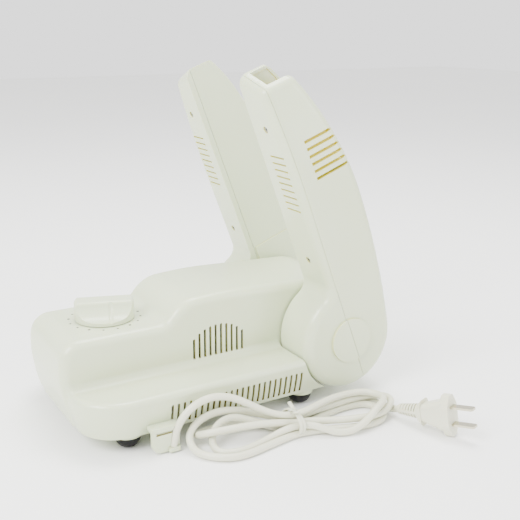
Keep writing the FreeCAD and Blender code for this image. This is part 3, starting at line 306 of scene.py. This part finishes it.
def add_tie(material):
    """Twist tie: two slanting turns round the bundle and two ends twisted together on top."""
    middle = at(tie_place)
    pieces = []
    for slant in turn_slants:
        bpy.ops.object.select_all(action="DESELECT")
        bpy.ops.mesh.primitive_torus_add(location=middle, rotation=(0, math.radians(90), 0),
                                         major_segments=40, minor_segments=10,
                                         major_radius=bundle_half_wide, minor_radius=tie_wire_r)
        turn = bpy.context.object
        bpy.ops.object.transform_apply(location=True, rotation=True, scale=True)
        bpy.ops.object.mode_set(mode="EDIT")
        bpy.ops.mesh.select_all(action="SELECT")
        bpy.ops.transform.resize(value=(turn_widen, 1.0, bundle_half_high / bundle_half_wide),
                                 center_override=middle)
        bpy.ops.transform.rotate(value=math.radians(slant), orient_axis="Z", center_override=middle)
        bpy.ops.object.mode_set(mode="OBJECT")
        pieces.append(turn)
    for side in (-1, 1):
        foot = middle + Vector((0, side * tail_apart, bundle_half_high))
        bpy.ops.object.select_all(action="DESELECT")
        bpy.ops.mesh.primitive_cylinder_add(vertices=10, radius=tail_r, depth=tie_tail_l, location=foot)
        end = bpy.context.object
        bpy.ops.object.transform_apply(location=True, rotation=True, scale=True)
        bpy.ops.object.mode_set(mode="EDIT")
        bpy.ops.mesh.select_all(action="SELECT")
        bpy.ops.transform.resize(value=tail_flatten, center_override=foot)
        bpy.ops.transform.rotate(value=math.radians(side * tail_tilt), orient_axis="X", center_override=foot)
        bpy.ops.transform.translate(value=(side * tail_shift[0], side * tail_shift[1], tail_shift[2]))
        bpy.ops.object.mode_set(mode="OBJECT")
        pieces.append(end)
    bpy.ops.object.select_all(action="DESELECT")
    for piece in pieces:
        piece.select_set(True)
    bpy.context.view_layer.objects.active = pieces[0]
    bpy.ops.object.join()
    tie = bpy.context.object
    tie.name = "twist_tie"
    bpy.ops.object.mode_set(mode="EDIT")
    bpy.ops.mesh.select_all(action="SELECT")
    bpy.ops.mesh.normals_make_consistent(inside=False)
    bpy.ops.object.mode_set(mode="OBJECT")
    bpy.ops.object.origin_set(type="ORIGIN_CURSOR")
    bpy.ops.object.shade_smooth()
    tie.data.materials.clear()
    tie.data.materials.append(material)
    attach(tie, "base")
    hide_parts("cord_tie")
    return tie


# ---- put it together -----------------------------------------------------------------------
bpy.ops.object.select_all(action="DESELECT")
add_world()
add_floor()
add_camera()
add_light("key_softbox", place=(-1.1, -0.35, 1.15), aim=middle_of_object, size=(0.8, 0.8), power=44)
add_light("side_softbox", place=(0.9, -1.1, 0.55), aim=middle_of_object, size=(0.6, 0.9), power=11)
add_light("top_softbox", place=(0.25, 0.2, 1.4), aim=middle_of_base, size=(0.8, 0.6), power=26)

# cream ABS off a polished mould: a pale warm body with a clear, soft-edged sheen
cream_dark, cream_light = "C6CFAC", "CCD4B6"
# the thin arms let light through, and that light is painted in: their slots and hollows get a painted golden glow
# all the way in
arm_cream = glossy_abs("glossy_abs_arms_painted_slot_glow", glow="CDC02A", deep_shade_paint="BBA91C", glow_strength=0.6)
# the base is shut and full of parts: a trace of painted gold glow at a vent's edges, and painted shade, nearly
# black, inside
cream = glossy_abs("glossy_abs_painted_vent_shade", glow="94822A", deep_shade_paint="050402", glow_strength=0.03)
# moulded rubber feet: black, with a dull sheen that shows only at the edge
rubber = plain("moulded_black_rubber", "020202", "050505", patch=6 * MM, roughness=0.5,
               grain_size=0.8 * MM, grain_height=0.02 * MM, Specular_IOR_Level=0.25)
# extruded PVC of the cord, and the moulded PVC of the tie: cream, softer and duller than the case
cord_pvc = plain("extruded_cream_pvc", "CFCFB8", "D6D6C0", patch=40 * MM, roughness=0.33,
                 grain_size=1.5 * MM, grain_height=0.01 * MM,
                 Subsurface_Weight=0.2, Subsurface_Radius=(1.0, 0.8, 0.5), Subsurface_Scale=1.5 * MM)
# zinc-plated steel screws, springs and cans: bright grey metal, a little cloudy
zinc = plain("zinc_plated_steel", "9A9A96", "B4B4B0", patch=3 * MM, roughness=0.35,
             grain_size=0.4 * MM, grain_height=0.01 * MM, Metallic=1.0)
# pad-printed ink of the time marks: flat black with hardly any shine
ink = plain("pad_printed_ink", "020202", "040404", patch=3 * MM, roughness=0.6,
            grain_size=0.5 * MM, grain_height=0.004 * MM, Specular_IOR_Level=0.1)
# moulded polypropylene of the blower and timer: dark grey, slightly waxy
grey = plain("moulded_polypropylene", "121314", "181A1B", patch=20 * MM, roughness=0.5,
             grain_size=0.9 * MM, grain_height=0.02 * MM, Specular_IOR_Level=0.3)
# heat-resistant nylon of the duct and manifold: tan and matt
warm = plain("heat_resistant_nylon", "CFC49C", "D8CDA6", patch=20 * MM, roughness=0.5,
             grain_size=0.9 * MM, grain_height=0.02 * MM)
# laminated mica of the heater's boards: brown and gold flakes under a dull gloss
mica = plain("laminated_mica", "9C8B66", "B4A27A", patch=3 * MM, roughness=0.4,
             grain_size=0.4 * MM, grain_height=0.02 * MM)
# heater wire, oxidised by its own heat: brownish grey metal
wire = plain("oxidised_resistance_wire", "6A625C", "7A7068", patch=2 * MM, roughness=0.45,
             grain_size=0.3 * MM, grain_height=0.01 * MM, Metallic=1.0)
# moulded acetal of bushes and terminals: off-white with a slippery sheen
acetal = plain("moulded_acetal", "E2E2DA", "EAEAE4", patch=20 * MM, roughness=0.35,
               grain_size=0.9 * MM, grain_height=0.01 * MM)
# nickelled brass of the plug's pins: pale warm metal with sharp highlights
brass = plain("nickelled_brass", "B9B39C", "CFC9B2", patch=4 * MM, roughness=0.22,
              grain_size=0.5 * MM, grain_height=0.006 * MM, Metallic=1.0)
# PVC of the inner wires: plain dull red
red_pvc = plain("wire_insulation", "8E2A22", "9C3128", patch=10 * MM, roughness=0.4,
                grain_size=0.8 * MM, grain_height=0.01 * MM)

slots = {
    "cream_abs": cream, "black_rubber": rubber, "zinc_screw": zinc, "tick_print": ink, "steel": zinc,
    "grey_plastic": grey, "motor_can": zinc, "heat_plastic": warm, "mica": mica, "nichrome": wire,
    "acetal": acetal, "fuse_body": zinc, "terminal_plastic": acetal, "wire_pvc": red_pvc,
    "cord_pvc": cord_pvc, "tie_pvc": acetal, "pin_metal": brass,
}
for part in frame["record"]["subparts"]:
    mesh = frame["nodes"][part["node"]].data
    mesh.materials.clear()
    on_arm = part["node"].endswith(("_front_cover", "_back_shell"))
    mesh.materials.append(arm_cream if on_arm else slots[part["material_slot"]])

tie = add_tie(cord_pvc)
add_cord(cord_pvc)
